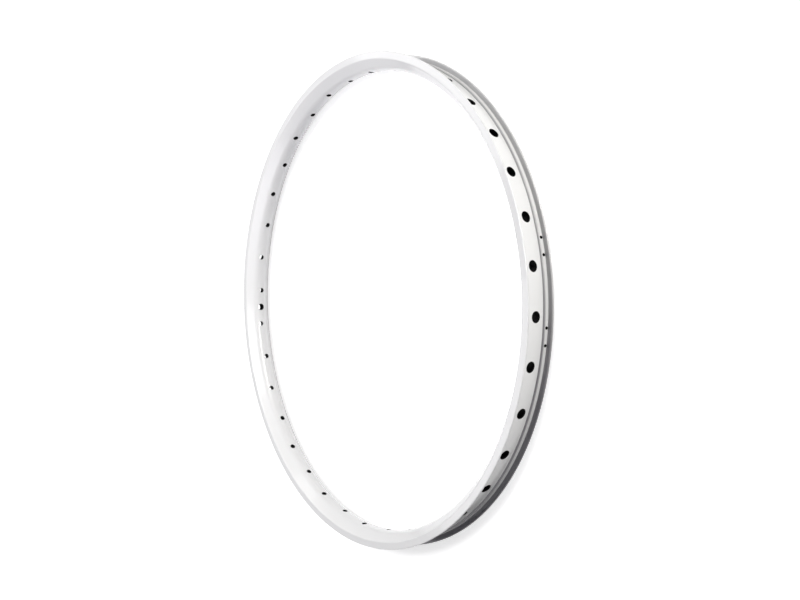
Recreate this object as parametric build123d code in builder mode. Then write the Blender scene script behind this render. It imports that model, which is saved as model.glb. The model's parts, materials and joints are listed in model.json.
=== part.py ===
from build123d import *

import os
from math import cos, degrees, radians, tan

# The rim lies flat, with its wheel axis on +Z, the valve hole on +X and the joint of the hoop on -X.
# Driving dimensions, in millimetres and degrees

# Section of the hoop
bead_seat_diameter = 406.0  # seat of the tyre bead
flange_height = 4.5  # flange tip above the bead seat
flange_thickness = 1.3
rim_width = 24.8  # over the two flat sides
rim_depth = 14.1  # flange tip to the crown that faces the hub
side_depth = 6.1  # flat side, from flange tip to shoulder
slope_angle = 45.0  # slope from shoulder to crown, against the wheel axis
crown_bevel = 0.7
bed_drop = 1.3  # tyre bed below the bead seats
bed_width = 14.2
bed_step_run = 0.6  # length along the axis of the step from the bed to a bead seat

# Walls of the hollow chamber
bed_wall = 1.3
slope_wall = 1.5
crown_wall = 2.1
chamber_floor_width = 7.6

# Drilling
spoke_count = 36
spoke_hole_diameter = 4.6  # across flats
access_hole_diameter = 8.4  # across flats
hole_sides = 6  # flats round each spoke and access hole
spoke_stagger = 0.95  # spoke holes lie above and below the middle plane in turn
valve_hole_diameter = 6.5

# Joint of the hoop
sleeve_length = 92.0  # along the roof of the chamber
sleeve_clearance = 0.1
stake_mark_size = 1.6
stake_mark_depth = 1.5
stake_mark_inset = 1.3  # from a flange to the middle of its stake marks
stake_mark_places = (25.5, 38.0)  # from the joint, along the bead seat

# Radii and half widths of the section
bead_seat = bead_seat_diameter / 2
flange_tip = bead_seat + flange_height
bed = bead_seat - bed_drop
crown = flange_tip - rim_depth
shoulder = flange_tip - side_depth
slope = tan(radians(slope_angle))
half_width = rim_width / 2
half_crown = half_width - (shoulder - crown) / slope
flange_inner = half_width - flange_thickness
half_bed = bed_width / 2

# Radii and half widths of the chamber, whose roof ends where the wall of the slope has its thickness
chamber_roof = bed - bed_wall
chamber_floor = crown + crown_wall
chamber_middle = (chamber_roof + chamber_floor) / 2
half_floor = chamber_floor_width / 2
half_roof = half_width - (shoulder + slope_wall / cos(radians(slope_angle)) - chamber_roof) / slope


def radial_plane(angle, height, radius):
    """A plane across a radius of the wheel, facing outwards."""
    outwards = Vector(1, 0, 0).rotate(Axis.Z, angle)
    return Plane(origin=outwards * radius + Vector(0, 0, height), x_dir=(0, 0, 1), z_dir=outwards)


def chamber_outline():
    """The hollow chamber, drawn in the sketch that is open."""
    Polygon(
        (chamber_floor, -half_floor),
        (chamber_roof, -half_roof),
        (chamber_roof, half_roof),
        (chamber_floor, half_floor),
        align=None,
    )


def drilling(diameter):
    """The outline of a hole with flat sides, drawn in the sketch that is open."""
    RegularPolygon(diameter / 2, hole_sides, major_radius=False)


# Spoke holes in order round the hoop, the first half a step from the valve hole
spoke_step = 360 / spoke_count
spoke_places = [
    radial_plane((n + 0.5) * spoke_step, spoke_stagger * (-1) ** n, chamber_middle)
    for n in range(spoke_count)
]

# Stake marks in both bead seats, on both sides of the joint
stake_height = flange_inner - stake_mark_inset
stake_places = [
    radial_plane(180 + side * degrees(place / bead_seat), seat * stake_height, bead_seat)
    for place in stake_mark_places
    for side in (-1, 1)
    for seat in (-1, 1)
]

# Rim hoop: a hollow section bent round into a ring, drilled through both walls
with BuildPart() as rim_hoop:
    with BuildSketch(Plane.XZ) as hoop_section:
        upper_half = [
            (crown, half_crown),
            (shoulder, half_width),
            (flange_tip, half_width),
            (flange_tip, flange_inner),
            (bead_seat, flange_inner),
            (bead_seat, half_bed + bed_step_run),
            (bed, half_bed),
        ]
        lower_half = [(radius, -height) for radius, height in reversed(upper_half)]
        Polygon(*upper_half, *lower_half, align=None)
        chamfer(hoop_section.vertices().group_by(Axis.X)[0], crown_bevel)
    revolve(axis=Axis.Z)
    with BuildSketch(Plane.XZ):
        chamber_outline()
    revolve(axis=Axis.Z, mode=Mode.SUBTRACT)
    with BuildSketch(*spoke_places):
        drilling(access_hole_diameter)
    extrude(amount=bead_seat - chamber_middle, mode=Mode.SUBTRACT)
    with BuildSketch(*spoke_places):
        drilling(spoke_hole_diameter)
    extrude(amount=crown - crown_wall - chamber_middle, mode=Mode.SUBTRACT)
    with BuildSketch(*stake_places):
        Rectangle(stake_mark_size, stake_mark_size)
    extrude(amount=-stake_mark_depth, mode=Mode.SUBTRACT)
    with Locations(radial_plane(0, 0, bead_seat)):
        Hole(valve_hole_diameter / 2, depth=bead_seat - crown + crown_wall)

rim_hoop.part.label = "rim_hoop"

# Joint sleeve: fills the chamber across the joint, drilled with the access holes that pass it
sleeve_angle = degrees(sleeve_length / chamber_roof)
with BuildPart() as joint_sleeve:
    with BuildSketch(Plane.XZ.rotated((0, 0, 180 - sleeve_angle / 2))):
        chamber_outline()
        offset(amount=-sleeve_clearance, kind=Kind.INTERSECTION, mode=Mode.REPLACE)
    revolve(axis=Axis.Z, revolution_arc=sleeve_angle)
    with BuildSketch(*spoke_places):
        drilling(access_hole_diameter)
    extrude(amount=chamber_roof - chamber_floor, both=True, mode=Mode.SUBTRACT)

joint_sleeve.part.label = "joint_sleeve"

os.makedirs("parts", exist_ok=True)
export_step(rim_hoop.part, "parts/rim_hoop.step")
export_step(joint_sleeve.part, "parts/joint_sleeve.step")
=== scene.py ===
"""A bare bicycle rim, lying flat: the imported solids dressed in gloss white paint, in a soft studio light."""

import json
import logging
import math
from collections.abc import Iterator, Mapping, Sequence
from dataclasses import dataclass
from enum import Enum
from typing import Any

import bmesh
import bpy
from mathutils import Matrix, Vector


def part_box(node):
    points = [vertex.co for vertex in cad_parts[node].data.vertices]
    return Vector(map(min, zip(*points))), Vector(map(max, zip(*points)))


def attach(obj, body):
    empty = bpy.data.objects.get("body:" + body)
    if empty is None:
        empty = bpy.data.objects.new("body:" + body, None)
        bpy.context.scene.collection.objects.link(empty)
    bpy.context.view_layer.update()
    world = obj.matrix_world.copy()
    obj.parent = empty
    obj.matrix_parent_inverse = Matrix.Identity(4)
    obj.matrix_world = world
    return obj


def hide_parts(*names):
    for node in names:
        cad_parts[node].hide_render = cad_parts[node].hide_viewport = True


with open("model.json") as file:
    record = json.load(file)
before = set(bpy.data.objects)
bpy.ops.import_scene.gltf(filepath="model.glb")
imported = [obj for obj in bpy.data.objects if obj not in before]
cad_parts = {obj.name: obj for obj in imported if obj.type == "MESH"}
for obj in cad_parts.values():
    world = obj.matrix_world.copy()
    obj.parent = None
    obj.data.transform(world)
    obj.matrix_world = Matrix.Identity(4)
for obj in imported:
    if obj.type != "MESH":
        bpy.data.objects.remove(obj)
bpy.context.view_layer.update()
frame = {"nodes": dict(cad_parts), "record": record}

LOG = logging.getLogger("bicycle_rim")
BODY = "root"
MM = 0.001
NODE_SPACING = 220

# Sockets of a colour Mix node, whose names aren't unique
MIX_AMOUNT, MIX_LOW, MIX_HIGH, MIX_RESULT = 0, 6, 7, 2

Colour = tuple[float, float, float]
Place = tuple[float, float, float]

WARM_LIGHT: Colour = (1.0, 0.994, 0.95)
COOL_LIGHT: Colour = (0.95, 0.93, 1.0)


class Wall(Enum):
    """What the wall of a cut shows."""

    PAINTED = False
    # BARE_IN_SHADE walls take the near-black metal: unpainted metal, with painted shade for the dark inside of
    # holes and the chamber
    BARE_IN_SHADE = True


class NodeCanvas:
    """A node tree in the making, with short ways to add and link its nodes."""

    def __init__(self, tree: bpy.types.NodeTree) -> None:
        """Starts on a tree that is empty."""
        self.tree = tree

    def add(self, kind: str, plugs: Mapping[Any, Any] | None = None, **settings: Any) -> bpy.types.Node:
        """Adds one node.

        Args:
            kind: The node's Blender type.
            plugs: For each input, by name or number, the socket to link or the value to set.
            **settings: The node's own settings.

        Returns:
            The new node.
        """
        node = self.tree.nodes.new(kind)
        node.location = (NODE_SPACING * len(self.tree.nodes), 0)
        for name, value in settings.items():
            setattr(node, name, value)
        for name, plug in (plugs or {}).items():
            if isinstance(plug, bpy.types.NodeSocket):
                self.tree.links.new(plug, node.inputs[name])
            else:
                node.inputs[name].default_value = plug
        return node

    def math(self, operation: str, *plugs: Any) -> bpy.types.NodeSocket:
        """Adds a Math node with these inputs in order, and returns its value."""
        return self.add("ShaderNodeMath", dict(enumerate(plugs)), operation=operation).outputs[0]

    def inputs(self, sockets: Mapping[str, str]) -> bpy.types.NodeOutputs:
        """Names the tree's inputs.

        Args:
            sockets: For each input's name, its socket type.

        Returns:
            The sockets of the group input node, by name.
        """
        for name, kind in sockets.items():
            self.tree.interface.new_socket(name, in_out="INPUT", socket_type=kind)
        return self.add("NodeGroupInput").outputs

    def outputs(self, results: Mapping[str, tuple[str, bpy.types.NodeSocket]]) -> None:
        """Names the tree's outputs and links them.

        Args:
            results: For each output's name, its socket type and the socket to link.
        """
        for name, (kind, _) in results.items():
            self.tree.interface.new_socket(name, in_out="OUTPUT", socket_type=kind)
        self.add("NodeGroupOutput", {name: socket for name, (_, socket) in results.items()})


def linked(name: str, data: bpy.types.ID) -> bpy.types.Object:
    """Puts mesh, curve, lamp or camera data into the scene as an object at the origin."""
    made = bpy.data.objects.new(name, data)
    bpy.context.scene.collection.objects.link(made)
    return made


def neighbours(row: Sequence[Any]) -> Iterator[tuple[Any, Any, Any]]:
    """Goes round a closed row: the item before each, the item itself and the item after it."""
    return zip(row[-1:] + row[:-1], row, row[1:] + row[:1])


@dataclass(frozen=True)
class Corner:
    """A corner of a section: its radius from the wheel axis, its height and the radius of its round."""

    radius: float
    height: float
    round: float = 0.0

    @property
    def place(self) -> Vector:
        """The corner as a point of the section's plane."""
        return Vector((self.radius, self.height))


@dataclass(frozen=True)
class Outline:
    """A closed outline of a section, drawn from its corners."""

    corners: tuple[Corner, ...]
    arc_step: float = math.radians(7.5)
    guard: float = 0.12 * MM

    @classmethod
    def mirrored(cls, upper: Sequence[Corner]) -> "Outline":
        """Closes the corners of an upper half, from the hub outwards, with their mirror image below."""
        lower = [Corner(corner.radius, -corner.height, corner.round) for corner in upper]
        return cls((*lower, *reversed(upper)))

    def points(self) -> list[Vector]:
        """Rounds the corners.

        Returns:
            The points of the outline, with one close beside each end of an arc, so that flats shade flat.
        """
        points: list[Vector] = []
        for before, corner, after in neighbours(self.corners):
            points += self.rounded(before.place, corner, after.place)
        return points

    def rounded(self, before: Vector, corner: Corner, after: Vector) -> list[Vector]:
        """Rounds one corner.

        Args:
            before: The corner before it.
            corner: The corner to round.
            after: The corner after it.

        Returns:
            The points that stand for the corner.
        """
        if not corner.round:
            return [corner.place]
        back = (before - corner.place).normalized()
        ahead = (after - corner.place).normalized()
        turn = math.pi - back.angle(ahead)
        reach = corner.round * math.tan(turn / 2)
        middle = corner.place + (back + ahead).normalized() * corner.round / math.cos(turn / 2)
        sense = math.copysign(1.0, back.y * ahead.x - back.x * ahead.y)
        spoke = corner.place + back * reach - middle
        steps = math.ceil(turn / self.arc_step)
        arc = [middle + Matrix.Rotation(sense * turn * n / steps, 2) @ spoke for n in range(steps + 1)]
        return [
            corner.place + back * (reach + self.guard),
            *arc,
            corner.place + ahead * (reach + self.guard),
        ]

    def curve(self, name: str, sweep_radius: float) -> bpy.types.Object:
        """Draws the outline as a profile for a sweep.

        Args:
            name: The name of the profile.
            sweep_radius: The radius of the circle that the profile follows.

        Returns:
            A closed curve, its x outwards from that circle and its y upwards.
        """
        data = bpy.data.curves.new(name, "CURVE")
        data.dimensions = "3D"
        points = self.points()
        spline = data.splines.new("POLY")
        spline.points.add(len(points) - 1)
        spline.use_cyclic_u = True
        for knot, point in zip(spline.points, points):
            knot.co = (point.x - sweep_radius, point.y, 0.0, 1.0)
        return linked(name, data)

    def band(self, name: str, width: float, depth: float, above: float) -> bpy.types.Object:
        """Wraps the outline in a thin band, the cutter of a fine line that runs round the section.

        Args:
            name: The name of the cutter.
            width: The width of the line, along the hoop.
            depth: How deep the line goes.
            above: How far the cutter stands above the surface.

        Returns:
            A closed band where the section stands at +X.
        """
        shape = bmesh.new()
        rings = []
        for before, here, after in neighbours(self.points()):
            along = (after - before).normalized()
            outwards = Vector((along.y, -along.x))
            corners = [(above, -1), (above, 1), (-depth, 1), (-depth, -1)]
            rings.append([
                shape.verts.new(((here + outwards * lift).x, side * width / 2, (here + outwards * lift).y))
                for lift, side in corners
            ])
        for _, ring, follower in neighbours(rings):
            for n in range(len(ring)):
                shape.faces.new((ring[n], ring[n - 1], follower[n - 1], follower[n]))
        bmesh.ops.recalc_face_normals(shape, faces=shape.faces)
        mesh = bpy.data.meshes.new(name)
        shape.to_mesh(mesh)
        shape.free()
        return linked(name, mesh)


@dataclass(frozen=True)
class HoopSection:
    """The outer section of the hoop: flanges, bead seats, a tyre bed, flat sides, slopes and a crown."""

    flange_tip: float
    half_width: float
    crown: float
    bead_seat: float
    side_depth: float = 6.1 * MM
    flange_thickness: float = 1.3 * MM
    bed_drop: float = 1.3 * MM
    half_bed: float = 7.1 * MM
    bed_step_run: float = 0.6 * MM
    crown_round: float = 8.0 * MM
    shoulder_round: float = 1.5 * MM
    tip_round: float = 0.62 * MM
    root_round: float = 0.5 * MM
    step_round: float = 0.9 * MM
    foot_round: float = 0.2 * MM

    @property
    def bed(self) -> float:
        """The radius of the tyre bed."""
        return self.bead_seat - self.bed_drop

    @property
    def flange_inner(self) -> float:
        """The height of a flange's inner face above the middle plane."""
        return self.half_width - self.flange_thickness

    def outline(self) -> Outline:
        """The section's outline, with its rounds."""
        shoulder = self.flange_tip - self.side_depth
        half_crown = self.half_width - (shoulder - self.crown)
        return Outline.mirrored([
            Corner(self.crown, half_crown, self.crown_round),
            Corner(shoulder, self.half_width, self.shoulder_round),
            Corner(self.flange_tip, self.half_width, self.tip_round),
            Corner(self.flange_tip, self.flange_inner, self.tip_round),
            Corner(self.bead_seat, self.flange_inner, self.root_round),
            Corner(self.bead_seat, self.half_bed + self.bed_step_run, self.step_round),
            Corner(self.bed, self.half_bed, self.foot_round),
        ])


@dataclass(frozen=True)
class Chamber:
    """The hollow between the tyre bed and the crown."""

    hoop: HoopSection
    bed_wall: float = 1.3 * MM
    slope_wall: float = 1.5 * MM
    crown_wall: float = 2.1 * MM
    half_floor: float = 3.8 * MM

    @property
    def roof(self) -> float:
        """The radius of the wall under the tyre bed."""
        return self.hoop.bed - self.bed_wall

    @property
    def floor(self) -> float:
        """The radius of the wall behind the crown."""
        return self.hoop.crown + self.crown_wall

    @property
    def middle(self) -> float:
        """The radius half way between the two."""
        return (self.roof + self.floor) / 2

    def outline(self) -> Outline:
        """The chamber's outline, with a thin wall along each slope."""
        shoulder = self.hoop.flange_tip - self.hoop.side_depth
        half_roof = self.hoop.half_width - (shoulder + self.slope_wall * math.sqrt(2) - self.roof)
        return Outline.mirrored([Corner(self.floor, self.half_floor), Corner(self.roof, half_roof)])


@dataclass(frozen=True)
class Drilling:
    """The holes of the hoop, all of them round but the access holes in the bed, which are a little oval."""

    spoke_count: int
    spoke_radius: float
    valve_radius: float
    access_radius: float = 4.2 * MM
    access_flatness: float = 0.92
    spoke_stagger: float = 0.95 * MM
    access_stagger: float = 0.5 * MM
    sides: int = 48
    spare: float = 2.0 * MM

    def cutter(
        self, name: str, radius: float, near: float, far: float, flatness: float = 1.0
    ) -> bpy.types.Object:
        """Makes a drill that lies along +X.

        Args:
            name: The name of the cutter.
            radius: The radius of the hole.
            near: The radius of the wheel where the cut starts.
            far: The radius of the wheel where the cut ends.
            flatness: The height of the hole over its length along the hoop.

        Returns:
            A closed bar, round or oval.
        """
        shape = bmesh.new()
        bmesh.ops.create_cone(
            shape, cap_ends=True, segments=self.sides, radius1=radius, radius2=radius, depth=far - near
        )
        shape.transform(Matrix.Rotation(math.pi / 2, 4, "Y"))
        shape.transform(Matrix.Translation(((near + far) / 2, 0, 0)) @ Matrix.Diagonal((1, 1, flatness, 1)))
        mesh = bpy.data.meshes.new(name)
        shape.to_mesh(mesh)
        shape.free()
        return linked(name, mesh)


@dataclass(frozen=True)
class JointMarks:
    """What shows of the hoop's joint: a hairline round the section, and punch marks in the bead seats.

    On each side of the joint, a near and a far mark stand in both seats.
    """

    mark_count: int = 8
    mark_radius: float = 1.2 * MM
    mark_depth: float = 1.5 * MM
    mark_inset: float = 1.3 * MM
    near_mark: float = 25.5 * MM
    far_mark: float = 38.0 * MM
    line_width: float = 0.05 * MM
    line_depth: float = 0.05 * MM


@dataclass(frozen=True)
class HoopPlaces:
    """A shader group that tells where on the hoop a point is."""

    name: str = "hoop_places"

    def group(self) -> bpy.types.NodeTree:
        """The group, built on first use.

        Returns:
            A tree that puts out the angle from the joint, the radius and the height of its input point.
        """
        if self.name in bpy.data.node_groups:
            return bpy.data.node_groups[self.name]
        canvas = NodeCanvas(bpy.data.node_groups.new(self.name, "ShaderNodeTree"))
        point = canvas.inputs({"Point": "NodeSocketVector"})["Point"]
        parts = canvas.add("ShaderNodeSeparateXYZ", {0: point}).outputs
        flat = canvas.add(
            "ShaderNodeVectorMath", {0: point, 1: (1.0, 1.0, 0.0)}, operation="MULTIPLY"
        ).outputs[0]
        angle = canvas.math("ARCTAN2", parts["Y"], canvas.math("MULTIPLY", parts["X"], -1.0))
        radius = canvas.add("ShaderNodeVectorMath", {0: flat}, operation="LENGTH").outputs["Value"]
        canvas.outputs({
            "Angle": ("NodeSocketFloat", angle),
            "Radius": ("NodeSocketFloat", radius),
            "Height": ("NodeSocketFloat", parts["Z"]),
        })
        return canvas.tree


@dataclass(frozen=True)
class FineGrain:
    """A shader group for the small unevenness of a finish."""

    name: str = "fine_grain"
    grain_detail: float = 1.5
    cloud_detail: float = 3.0

    def group(self) -> bpy.types.NodeTree:
        """The group, built on first use.

        Returns:
            A tree that puts out a fine height and a soft, cloudy tone, both from 0 to 1.
        """
        if self.name in bpy.data.node_groups:
            return bpy.data.node_groups[self.name]
        canvas = NodeCanvas(bpy.data.node_groups.new(self.name, "ShaderNodeTree"))
        given = canvas.inputs({
            "Point": "NodeSocketVector",
            "Grains per Metre": "NodeSocketFloat",
            "Clouds per Metre": "NodeSocketFloat",
        })
        grain, cloud = (
            canvas.add("ShaderNodeTexNoise", {"Vector": given["Point"], "Scale": scale, "Detail": detail})
            for scale, detail in (
                (given["Grains per Metre"], self.grain_detail),
                (given["Clouds per Metre"], self.cloud_detail),
            )
        )
        canvas.outputs({
            "Height": ("NodeSocketFloat", grain.outputs["Fac"]),
            "Tone": ("NodeSocketFloat", cloud.outputs["Fac"]),
        })
        return canvas.tree


class Finish:
    """What the finishes share: a material with a Principled shader, and the two groups."""

    @staticmethod
    def canvas(name: str) -> NodeCanvas:
        """Starts a material with an empty node tree, and returns the tree's canvas."""
        material = bpy.data.materials.new(name)
        material.use_nodes = True
        material.node_tree.nodes.clear()
        return NodeCanvas(material.node_tree)

    @staticmethod
    def places(canvas: NodeCanvas) -> tuple[bpy.types.NodeSocket, bpy.types.NodeOutputs]:
        """Adds the object's coordinates, and returns them with the hoop's places."""
        point = canvas.add("ShaderNodeTexCoord").outputs["Object"]
        group = canvas.add("ShaderNodeGroup", node_tree=HoopPlaces().group())
        canvas.tree.links.new(point, group.inputs["Point"])
        return point, group.outputs

    @staticmethod
    def grain(
        canvas: NodeCanvas, point: bpy.types.NodeSocket, grains: float, clouds: float
    ) -> bpy.types.NodeOutputs:
        """Adds the fine grain.

        Args:
            canvas: The material's canvas.
            point: The point to take it at.
            grains: The number of grains per metre.
            clouds: The number of clouds per metre.

        Returns:
            The height and the tone.
        """
        group = canvas.add("ShaderNodeGroup", node_tree=FineGrain().group())
        canvas.tree.links.new(point, group.inputs["Point"])
        group.inputs["Grains per Metre"].default_value = grains
        group.inputs["Clouds per Metre"].default_value = clouds
        return group.outputs

    @staticmethod
    def tint(canvas: NodeCanvas, amount: bpy.types.NodeSocket, low: Any, high: Any) -> bpy.types.NodeSocket:
        """Mixes two colours by an amount, and returns the colour."""
        mix = canvas.add("ShaderNodeMix", data_type="RGBA")
        canvas.tree.links.new(amount, mix.inputs[MIX_AMOUNT])
        for socket, colour in ((mix.inputs[MIX_LOW], low), (mix.inputs[MIX_HIGH], high)):
            if isinstance(colour, bpy.types.NodeSocket):
                canvas.tree.links.new(colour, socket)
            else:
                socket.default_value = (*colour, 1.0)
        return mix.outputs[MIX_RESULT]

    @staticmethod
    def spread(
        canvas: NodeCanvas, amount: bpy.types.NodeSocket, low: float, high: float
    ) -> bpy.types.NodeSocket:
        """Maps an amount from 0 to 1 onto a range, and returns the value."""
        plugs = {"Value": amount, "To Min": low, "To Max": high}
        return canvas.add("ShaderNodeMapRange", plugs).outputs["Result"]

    @staticmethod
    def window(
        canvas: NodeCanvas, value: bpy.types.NodeSocket, low: float, high: float, soft: float
    ) -> bpy.types.NodeSocket:
        """Adds a mask that is 1 where a value lies within a range.

        Args:
            canvas: The material's canvas.
            value: The value to test.
            low: The lower end of the range.
            high: The upper end of the range.
            soft: The width over which the mask fades at each end.

        Returns:
            The mask, from 0 to 1.
        """
        rise, fall = (
            canvas.add(
                "ShaderNodeMapRange",
                {"Value": value, "From Min": start, "From Max": stop},
                interpolation_type="SMOOTHSTEP",
            ).outputs["Result"]
            for start, stop in ((low - soft, low), (high + soft, high))
        )
        return canvas.math("MULTIPLY", rise, fall)


@dataclass(frozen=True)
class GlossPaint(Finish):
    """White gloss paint under a clear coat, rippled a little, with painted shade in the tyre channel.

    The painted shade mixes a dark colour into the channel's steps and flange faces, standing for the shade
    that falls there. Each strength is given for the half of the hoop that is lit and for the half in shade.
    The two blend over a range of the sine of the angle from the joint.
    """

    section: HoopSection
    name: str = "white_gloss_paint"
    colour: Colour = (0.853, 0.85, 0.856)
    thin_colour: Colour = (0.823, 0.82, 0.828)
    # Painted shade: a dark colour mixed into the tyre channel's steps and flange faces, strongest on one half
    # of the hoop
    painted_shade_colour: Colour = (0.148, 0.143, 0.163)
    flange_painted_shade: tuple[float, float] = (0.44, 1.0)
    step_painted_shade: tuple[float, float] = (0.58, 0.92)
    shaded_half_edge: tuple[float, float] = (-0.3, 0.45)
    painted_shade_edge: float = 0.35 * MM
    tip_fade: float = 1.6 * MM
    step_fade: float = 1.4 * MM
    smoothest: float = 0.2
    roughest: float = 0.3
    coat: float = 0.7
    coat_roughness: float = 0.04
    ripples_per_metre: float = 700.0
    clouds_per_metre: float = 28.0
    ripple_strength: float = 0.12
    ripple_height: float = 0.02 * MM

    def painted_shade_mask(self, canvas: NodeCanvas, places: bpy.types.NodeOutputs) -> bpy.types.NodeSocket:
        """Adds a mask of painted shade on the faces in the tyre channel.

        Args:
            canvas: The material's canvas.
            places: Where on the hoop a point is.

        Returns:
            The mask of painted shade. It covers the steps of the bed and the inner faces of the flanges and,
            on the half in shade, the lower flange's tip too.
        """
        # Painted shade in the channel's recesses, darker on the half of the hoop away from the lamps
        hoop, soft, radius = self.section, self.painted_shade_edge, places["Radius"]
        side = canvas.math("ABSOLUTE", places["Height"])
        shaded_half = canvas.add("ShaderNodeMapRange", {
            "Value": canvas.math("SINE", places["Angle"]),
            "From Min": self.shaded_half_edge[0],
            "From Max": self.shaded_half_edge[1],
        }, interpolation_type="SMOOTHSTEP").outputs["Result"]
        below = canvas.math("MULTIPLY", places["Height"], -1.0)
        root = canvas.math(
            "MULTIPLY",
            self.window(canvas, radius, hoop.bead_seat, hoop.flange_tip - self.tip_fade, self.tip_fade),
            self.window(canvas, side, hoop.flange_inner, hoop.flange_inner + soft, soft),
        )
        face = canvas.math(
            "MULTIPLY",
            self.window(canvas, radius, hoop.bead_seat, hoop.flange_tip + soft, soft),
            self.window(canvas, below, hoop.flange_inner, hoop.half_width - 2 * soft, soft),
        )
        flange = canvas.math("MAXIMUM", root, canvas.math("MULTIPLY", face, shaded_half))
        step = canvas.math(
            "MULTIPLY",
            self.window(canvas, radius, hoop.bed + soft, hoop.bead_seat + soft, soft),
            self.window(canvas, side, hoop.half_bed, hoop.half_bed + hoop.bed_step_run, self.step_fade),
        )
        return canvas.math(
            "MAXIMUM",
            canvas.math("MULTIPLY", flange, self.spread(canvas, shaded_half, *self.flange_painted_shade)),
            canvas.math("MULTIPLY", step, self.spread(canvas, shaded_half, *self.step_painted_shade)),
        )

    def material(self) -> bpy.types.Material:
        """Builds the paint's material."""
        canvas = self.canvas(self.name)
        point, places = self.places(canvas)
        grain = self.grain(canvas, point, self.ripples_per_metre, self.clouds_per_metre)
        full = self.tint(canvas, grain["Tone"], self.thin_colour, self.colour)
        ripple = canvas.add(
            "ShaderNodeBump",
            {"Height": grain["Height"], "Strength": self.ripple_strength, "Distance": self.ripple_height},
        )
        shader = canvas.add("ShaderNodeBsdfPrincipled", {
            # The base colour is darkened by the painted shade mask
            "Base Color": self.tint(canvas, self.painted_shade_mask(canvas, places), full, self.painted_shade_colour),
            "Roughness": self.spread(canvas, grain["Tone"], self.roughest, self.smoothest),
            "Coat Weight": self.coat,
            "Coat Roughness": self.coat_roughness,
            "Normal": ripple.outputs["Normal"],
        })
        canvas.add("ShaderNodeOutputMaterial", {"Surface": shader.outputs[0]})
        return bpy.data.materials[self.name]


@dataclass(frozen=True)
class DrawnMetal(Finish):
    """Metal with fine lines along the hoop, as aluminium leaves the die. Its colour is given; here it is
    near-black, painted shade for the dark inside of the hollow hoop.
    """

    name: str
    colour: Colour
    dull_colour: Colour
    metallic: float = 0.3
    shine: float = 0.15
    smoothest: float = 0.38
    roughest: float = 0.6
    lines_per_metre: float = 2600.0
    clouds_per_metre: float = 90.0
    line_strength: float = 0.35
    line_height: float = 0.03 * MM
    line_length: float = 0.02

    def material(self) -> bpy.types.Material:
        """Builds the metal's material."""
        canvas = self.canvas(self.name)
        _, places = self.places(canvas)
        along = canvas.math("MULTIPLY", places["Angle"], self.line_length)
        point = canvas.add(
            "ShaderNodeCombineXYZ", {"X": places["Radius"], "Y": along, "Z": places["Height"]}
        ).outputs[0]
        grain = self.grain(canvas, point, self.lines_per_metre, self.clouds_per_metre)
        lines = canvas.add(
            "ShaderNodeBump",
            {"Height": grain["Height"], "Strength": self.line_strength, "Distance": self.line_height},
        )
        shader = canvas.add("ShaderNodeBsdfPrincipled", {
            "Base Color": self.tint(canvas, grain["Tone"], self.dull_colour, self.colour),
            "Metallic": self.metallic,
            "Specular IOR Level": self.shine,
            "Roughness": self.spread(canvas, grain["Tone"], self.roughest, self.smoothest),
            "Normal": lines.outputs["Normal"],
        })
        canvas.add("ShaderNodeOutputMaterial", {"Surface": shader.outputs[0]})
        return bpy.data.materials[self.name]


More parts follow.
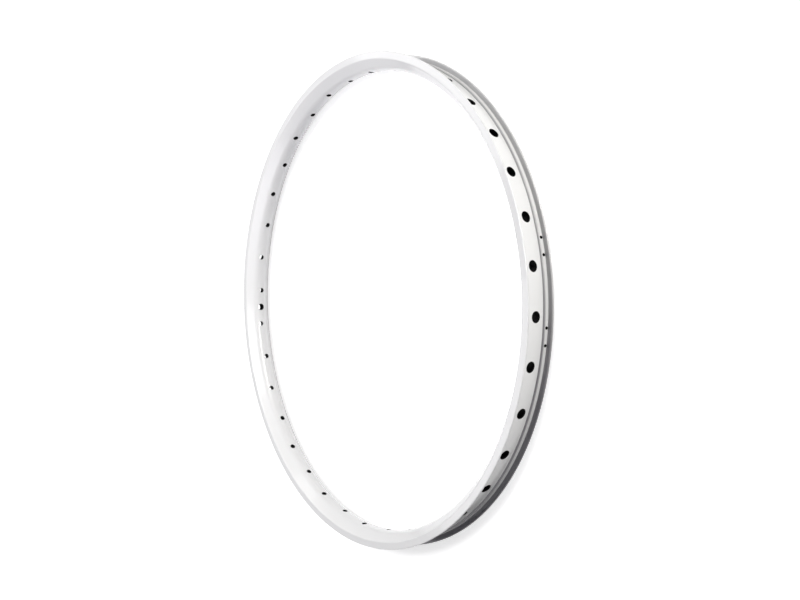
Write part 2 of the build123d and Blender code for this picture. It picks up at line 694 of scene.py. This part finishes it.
@dataclass
class RimHoop:
    """The hoop: its section swept round the wheel axis, hollow, drilled and punched."""

    section: HoopSection
    chamber: Chamber
    drilling: Drilling
    joint: JointMarks
    steps_around: int = 360
    sharp_angle: float = math.radians(35.0)

    def cutters(self) -> dict[str, bpy.types.Object]:
        """The drills and punches, each for its named input."""
        drill, joint = self.drilling, self.joint
        middle = self.chamber.middle
        seat = self.section.bead_seat
        inside = self.section.crown - drill.spare
        return {
            "Spoke Drill": drill.cutter("spoke_drill", drill.spoke_radius, inside, middle),
            "Access Drill": drill.cutter(
                "access_drill", drill.access_radius, middle, seat, drill.access_flatness
            ),
            "Valve Drill": drill.cutter("valve_drill", drill.valve_radius, inside, seat),
            "Joint Punch": drill.cutter(
                "joint_punch", joint.mark_radius, seat - joint.mark_depth, seat + drill.spare
            ),
            "Joint Line": self.section.outline().band(
                "joint_line", joint.line_width, joint.line_depth, joint.line_depth
            ),
        }

    @staticmethod
    def ring(
        canvas: NodeCanvas,
        cutter: bpy.types.NodeSocket,
        count: Any,
        angle: bpy.types.NodeSocket,
        height: bpy.types.NodeSocket,
    ) -> bpy.types.NodeSocket:
        """Sets copies of a cutter round the wheel axis.

        Args:
            canvas: The tree's canvas.
            cutter: The cutter, as it lies along +X.
            count: The number of copies.
            angle: The angle of each copy, from its index.
            height: The height of each copy, from its index.

        Returns:
            The copies, realised.
        """
        lift = canvas.add("ShaderNodeCombineXYZ", {"Z": height}).outputs[0]
        turn = canvas.add("ShaderNodeCombineXYZ", {"Z": angle}).outputs[0]
        points = canvas.add("GeometryNodePoints", {"Count": count, "Position": lift}).outputs[0]
        copies = canvas.add("GeometryNodeInstanceOnPoints", {
            "Points": points,
            "Instance": cutter,
            "Rotation": canvas.add("FunctionNodeEulerToRotation", {0: turn}).outputs[0],
        })
        return canvas.add("GeometryNodeRealizeInstances", {0: copies.outputs[0]}).outputs[0]

    @staticmethod
    def walled(canvas: NodeCanvas, cutter: bpy.types.NodeSocket, wall: Wall) -> bpy.types.NodeSocket:
        """Marks what the wall of a cut shows, and returns the cutter."""
        return canvas.add(
            "GeometryNodeStoreNamedAttribute",
            {"Geometry": cutter, "Name": "bare", "Value": wall.value},
            data_type="BOOLEAN",
            domain="FACE",
        ).outputs[0]

    def tree(self) -> bpy.types.NodeTree:
        """Builds the tree that sweeps, hollows, drills and punches the hoop.

        Returns:
            A Geometry Nodes tree with named inputs for profiles, cutters, counts, sizes and materials.
        """
        canvas = NodeCanvas(bpy.data.node_groups.new("drilled_hoop", "GeometryNodeTree"))
        profiles = ("Section", "Chamber")
        cutters = ("Spoke Drill", "Access Drill", "Valve Drill", "Joint Punch", "Joint Line")
        staggers = ("Spoke Stagger", "Access Stagger")
        marks = ("Near Mark Angle", "Far Mark Angle", "Mark Height")
        given = canvas.inputs({
            **dict.fromkeys(profiles + cutters, "NodeSocketObject"),
            **dict.fromkeys(("Sweep Radius", "Sharp Angle", *marks, *staggers), "NodeSocketFloat"),
            **dict.fromkeys(("Steps Around", "Spoke Count", "Mark Count"), "NodeSocketInt"),
            **dict.fromkeys(("Paint", "Metal In Shade"), "NodeSocketMaterial"),
        })
        shapes = {
            name: canvas.add("GeometryNodeObjectInfo", {"Object": given[name]}).outputs["Geometry"]
            for name in profiles + cutters
        }

        circle = canvas.add(
            "GeometryNodeCurvePrimitiveCircle",
            {"Resolution": given["Steps Around"], "Radius": given["Sweep Radius"]},
        ).outputs["Curve"]
        hoop, hollow = (
            canvas.add(
                "GeometryNodeCurveToMesh", {"Curve": circle, "Profile Curve": shapes[name]}
            ).outputs[0]
            for name in profiles
        )

        index = canvas.add("GeometryNodeInputIndex").outputs[0]
        step = canvas.math("DIVIDE", math.tau, given["Spoke Count"])
        spoke_angle = canvas.math("MULTIPLY", canvas.math("ADD", index, 0.5), step)
        in_turn = canvas.math("MULTIPLY_ADD", canvas.math("MODULO", index, 2.0), -2.0, 1.0)
        spoke_height, access_height = (canvas.math("MULTIPLY", in_turn, given[name]) for name in staggers)
        spokes, accesses = (
            self.ring(canvas, shapes[name], given["Spoke Count"], spoke_angle, height)
            for name, height in (("Spoke Drill", spoke_height), ("Access Drill", access_height))
        )

        pair = canvas.math("FLOOR", canvas.math("DIVIDE", index, 2.0))
        side = canvas.math("MULTIPLY_ADD", canvas.math("MODULO", pair, 2.0), -2.0, 1.0)
        outer = canvas.math("FLOOR", canvas.math("DIVIDE", index, 4.0))
        apart = canvas.math("SUBTRACT", given["Far Mark Angle"], given["Near Mark Angle"])
        offset = canvas.math("MULTIPLY_ADD", outer, apart, given["Near Mark Angle"])
        mark_angle = canvas.math("MULTIPLY_ADD", side, offset, math.pi)
        mark_height = canvas.math("MULTIPLY", in_turn, given["Mark Height"])
        punches = self.ring(canvas, shapes["Joint Punch"], given["Mark Count"], mark_angle, mark_height)

        joint_line = canvas.add("GeometryNodeTransform", {
            "Geometry": shapes["Joint Line"],
            "Rotation": (0.0, 0.0, math.pi),
        }).outputs[0]
        # Walls of the chamber, holes and punch marks get the near-black metal: painted shade
        cuts = [
            (hollow, Wall.BARE_IN_SHADE),
            (spokes, Wall.BARE_IN_SHADE),
            (accesses, Wall.BARE_IN_SHADE),
            (shapes["Valve Drill"], Wall.BARE_IN_SHADE),
            (punches, Wall.BARE_IN_SHADE),
            (joint_line, Wall.PAINTED),
        ]
        drilled = canvas.add(
            "GeometryNodeMeshBoolean", {"Mesh 1": self.walled(canvas, hoop, Wall.PAINTED)},
            operation="DIFFERENCE", solver="MANIFOLD",
        )
        for cutter, wall in cuts:
            canvas.tree.links.new(self.walled(canvas, cutter, wall), drilled.inputs["Mesh 2"])

        smooth = canvas.add(
            "GeometryNodeSetShadeSmooth", {"Geometry": drilled.outputs["Mesh"]}, domain="FACE"
        )
        fold = canvas.add("GeometryNodeInputMeshEdgeAngle").outputs["Unsigned Angle"]
        sharp = canvas.add("GeometryNodeSetShadeSmooth", {
            "Geometry": smooth.outputs[0],
            "Selection": canvas.math("GREATER_THAN", fold, given["Sharp Angle"]),
            "Shade Smooth": False,
        }, domain="EDGE")
        whole = canvas.add("GeometryNodeRealizeInstances", {0: sharp.outputs[0]}).outputs[0]
        painted = canvas.add(
            "GeometryNodeSetMaterial", {"Geometry": whole, "Material": given["Paint"]}
        ).outputs[0]
        bare = canvas.add(
            "GeometryNodeInputNamedAttribute", {"Name": "bare"}, data_type="BOOLEAN"
        ).outputs[0]
        dressed = canvas.add("GeometryNodeSetMaterial", {
            "Geometry": painted,
            "Selection": bare,
            "Material": given["Metal In Shade"],
        }).outputs[0]
        canvas.outputs({"Geometry": ("NodeSocketGeometry", dressed)})
        return canvas.tree

    def build(self, paint: bpy.types.Material, metal: bpy.types.Material) -> bpy.types.Object:
        """Makes the hoop as one plain mesh.

        Args:
            paint: The material of the outside.
            metal: The material of the chamber, the holes and the punched marks, near-black as painted shade
                for their dark inside.

        Returns:
            The hoop's object, at the origin.
        """
        seat = self.section.bead_seat
        helpers = {
            "Section": self.section.outline().curve("hoop_section", seat),
            "Chamber": self.chamber.outline().curve("chamber_section", seat),
            **self.cutters(),
        }
        values = {
            **helpers,
            "Sweep Radius": seat,
            "Steps Around": self.steps_around,
            "Spoke Count": self.drilling.spoke_count,
            "Spoke Stagger": self.drilling.spoke_stagger,
            "Access Stagger": self.drilling.access_stagger,
            "Mark Count": self.joint.mark_count,
            "Near Mark Angle": self.joint.near_mark / seat,
            "Far Mark Angle": self.joint.far_mark / seat,
            "Mark Height": self.section.flange_inner - self.joint.mark_inset,
            "Sharp Angle": self.sharp_angle,
            "Paint": paint,
            "Metal In Shade": metal,
        }
        tree = self.tree()
        base = linked("hoop_base", bpy.data.meshes.new("hoop_base"))
        modifier = base.modifiers.new("drilled_hoop", "NODES")
        modifier.node_group = tree
        for socket in tree.interface.items_tree:
            if socket.in_out == "INPUT":
                modifier[socket.identifier] = values[socket.name]
        graph = bpy.context.evaluated_depsgraph_get()
        mesh = bpy.data.meshes.new_from_object(base.evaluated_get(graph), depsgraph=graph)
        for helper in (base, *helpers.values()):
            bpy.data.objects.remove(helper)
        bpy.data.node_groups.remove(tree)
        mesh.name = "rim_hoop_painted"
        return linked("rim_hoop_painted", mesh)

    def dress(self, hoop: bpy.types.Object) -> None:
        """Lets the hoop stand for its CAD node."""
        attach(hoop, BODY)
        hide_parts("rim_hoop")


@dataclass(frozen=True)
class JointSleeve:
    """The insert inside the hoop's joint, which keeps its CAD shape."""

    node: str = "joint_sleeve"

    def dress(self, metal: bpy.types.Material) -> None:
        """Gives the insert its near-black metal, painted shade for the dark inside of the joint."""
        slots = frame["nodes"][self.node].data.materials
        slots.clear()
        slots.append(metal)


@dataclass(frozen=True)
class Softbox:
    """A studio lamp with a flat, even face."""

    name: str
    centre: Place
    size: tuple[float, float]
    power: float
    target: Place = (0.0, 0.0, 0.0)
    spread: float = math.pi
    colour: Colour = (1.0, 1.0, 1.0)

    def hang(self) -> bpy.types.Object:
        """Hangs the lamp in its place, turned to its target."""
        data = bpy.data.lights.new(self.name, "AREA")
        data.shape = "RECTANGLE"
        data.size, data.size_y = self.size
        data.energy = self.power
        data.spread = self.spread
        data.color = self.colour
        lamp = linked(self.name, data)
        lamp.location = self.centre
        sight = Vector(self.target) - Vector(self.centre)
        lamp.rotation_euler = sight.to_track_quat("-Z", "Y").to_euler()
        lamp.visible_camera = False
        return lamp


@dataclass(frozen=True)
class PhotoCamera:
    """The camera, from the photo's own holes and outline."""

    place: Place = (-0.673397, 0.011422, 0.464294)
    right: Place = (-0.593587, 0.035820, -0.803972)
    up: Place = (-0.032295, -0.999264, -0.020677)
    focal_pixels: float = 954.17
    image_width: int = 800

    def stand(self) -> bpy.types.Object:
        """Sets up the camera and makes it the scene's own."""
        data = bpy.data.cameras.new("photo_camera")
        data.sensor_fit = "HORIZONTAL"
        data.lens = self.focal_pixels * data.sensor_width / self.image_width
        camera = linked("photo_camera", data)
        right, up = Vector(self.right), Vector(self.up)
        turned = Matrix((right, up, right.cross(up))).transposed().to_4x4()
        camera.matrix_world = Matrix.Translation(self.place) @ turned
        bpy.context.scene.camera = camera
        return camera


@dataclass(frozen=True)
class Studio:
    """A pale floor, soft lamps, a white surround and the camera."""

    lamps: tuple[Softbox, ...]
    camera: PhotoCamera
    surround: float = 0.02
    floor_half: float = 4.0
    floor_gap: float = 0.05 * MM
    floor_colour: Colour = (0.75, 0.75, 0.755)
    floor_near: tuple[float, float] = (0.25, 0.62)
    floor_far: tuple[float, float] = (0.9, 0.95)

    @staticmethod
    def seen(canvas: NodeCanvas) -> bpy.types.NodeSocket:
        """Adds a value that is 1 for what the camera sees, mirrored or through glass too, and else 0."""
        path = canvas.add("ShaderNodeLightPath").outputs
        mirrored = canvas.math("MAXIMUM", path["Is Glossy Ray"], path["Is Transmission Ray"])
        return canvas.math("MAXIMUM", path["Is Camera Ray"], mirrored)

    def lay_floor(self, height: float) -> bpy.types.Object:
        """Lays the floor under the rim.

        Args:
            height: The height of the rim's lowest face.

        Returns:
            The floor's object.
        """
        half, level = self.floor_half, height - self.floor_gap
        mesh = bpy.data.meshes.new("floor")
        corners = [(-half, -half, level), (half, -half, level), (half, half, level), (-half, half, level)]
        mesh.from_pydata(corners, [], [(0, 1, 2, 3)])
        canvas = Finish.canvas("pale_floor")
        matt = canvas.add("ShaderNodeBsdfDiffuse", {"Color": (*self.floor_colour, 1.0)}).outputs[0]
        point = canvas.add("ShaderNodeTexCoord").outputs["Object"]
        away = canvas.add("ShaderNodeVectorMath", {0: point}, operation="LENGTH").outputs["Value"]
        (near, near_white), (far, far_white) = self.floor_near, self.floor_far
        white = canvas.add("ShaderNodeMapRange", {
            "Value": away,
            "From Min": near,
            "From Max": far,
            "To Min": near_white,
            "To Max": far_white,
        }).outputs["Result"]
        lift = canvas.math("MULTIPLY", self.seen(canvas), white)
        glow = canvas.add("ShaderNodeEmission", {"Strength": lift}).outputs[0]
        both = canvas.add("ShaderNodeAddShader", {0: matt, 1: glow}).outputs[0]
        canvas.add("ShaderNodeOutputMaterial", {"Surface": both})
        mesh.materials.append(bpy.data.materials["pale_floor"])
        floor = linked("floor", mesh)
        return floor

    def paint_surround(self) -> None:
        """Makes the world white to the camera, and a softer light to the rim."""
        world = bpy.data.worlds.new("studio_surround")
        world.use_nodes = True
        world.node_tree.nodes.clear()
        canvas = NodeCanvas(world.node_tree)
        strength = canvas.math("MULTIPLY_ADD", self.seen(canvas), 1.0 - self.surround, self.surround)
        white = canvas.add("ShaderNodeBackground", {"Color": (1.0, 1.0, 1.0, 1.0), "Strength": strength})
        canvas.add("ShaderNodeOutputWorld", {"Surface": white.outputs[0]})
        bpy.context.scene.world = world

    def set_up(self, height: float) -> None:
        """Sets up the whole studio round a rim whose lowest face is at this height."""
        bpy.context.scene.view_settings.view_transform = "Standard"
        self.paint_surround()
        self.lay_floor(height)
        for lamp in self.lamps:
            lamp.hang()
        self.camera.stand()


def mount_sizes(name: str) -> dict[str, float]:
    """The sizes of one of the record's mounts, in millimetres, by name."""
    return next(mount["dims"] for mount in frame["record"]["mounts"] if mount["name"] == name)


def studio_lamps() -> tuple[Softbox, ...]:
    """The lamps: a key above, large soft ones round it, and small ones for the glints on the gloss."""
    return (
        Softbox("top_softbox", (0.0, -0.518, 1.932), (0.6, 0.6), 21.3),
        Softbox("back_softbox", (0.684, 0.0, 1.879), (1.0, 1.0), 2.2),
        Softbox("front_softbox", (-1.44, -1.208, 0.684), (0.7, 0.3), 2.6, colour=WARM_LIGHT),
        Softbox("front_strip", (-1.782, -0.908, 0.112), (1.3, 0.24), 24.8, colour=WARM_LIGHT),
        Softbox(
            "side_softbox", (-0.03, 0.15, 0.45), (0.5, 0.5), 0.265, (0.03, -0.19, 0.0),
            spread=math.radians(80.0), colour=COOL_LIGHT,
        ),
        Softbox("side_panel", (0.93, 0.25, 1.0), (0.6, 0.3), 1.15, (-0.17, 0.1, 0.012)),
        Softbox("side_glint", (1.05, -0.446, 0.936), (0.36, 0.36), 0.9, (-0.1, -0.18, 0.012)),
        Softbox("centre_glint", (0.055, -0.045, 0.31), (0.08, 0.062), 0.045, (0.12, 0.05, 0.0)),
        Softbox("slope_glint", (0.407, -0.586, 0.58), (0.16, 0.16), 0.13, (0.1, 0.173, 0.0)),
    )


def main() -> None:
    """Builds the rim and the studio, and reports each piece."""
    logging.basicConfig(level=logging.INFO, format="%(name)s: %(message)s")
    low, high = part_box("rim_hoop")
    spokes = mount_sizes("spoke_holes")

    section = HoopSection(
        flange_tip=high.y,
        half_width=high.z,
        crown=mount_sizes("spoke_bed")["r_mm"] * MM,
        bead_seat=mount_sizes("tyre_seat")["r_mm"] * MM,
    )
    drilling = Drilling(
        spoke_count=int(spokes["count"]),
        spoke_radius=spokes["hole_r_mm"] * MM,
        valve_radius=mount_sizes("valve_hole")["r_mm"] * MM,
    )
    paint = GlossPaint(section).material()
    # Near-black metals: painted shade for the dark inside of the chamber, holes, punch marks and joint sleeve
    inner_metal_painted_shade = DrawnMetal("inner_metal_painted_shade", (0.02, 0.02, 0.021), (0.01, 0.01, 0.011)).material()
    # The sleeve's near-black colour is painted shade for the dark inside of the joint
    sleeve_metal_painted_shade = DrawnMetal("sleeve_metal_painted_shade", (0.035, 0.035, 0.036), (0.02, 0.02, 0.021)).material()

    rim = RimHoop(section, Chamber(section), drilling, JointMarks())
    hoop = rim.build(paint, inner_metal_painted_shade)
    rim.dress(hoop)
    LOG.info("hoop: %d faces, %d spoke holes", len(hoop.data.polygons), drilling.spoke_count)

    sleeve = JointSleeve()
    sleeve.dress(sleeve_metal_painted_shade)
    LOG.info("joint sleeve: %s", sleeve_metal_painted_shade.name)

    lamps = studio_lamps()
    Studio(lamps, PhotoCamera()).set_up(low.z)
    LOG.info("studio: %d lamps", len(lamps))


if __name__ == "__main__":
    main()
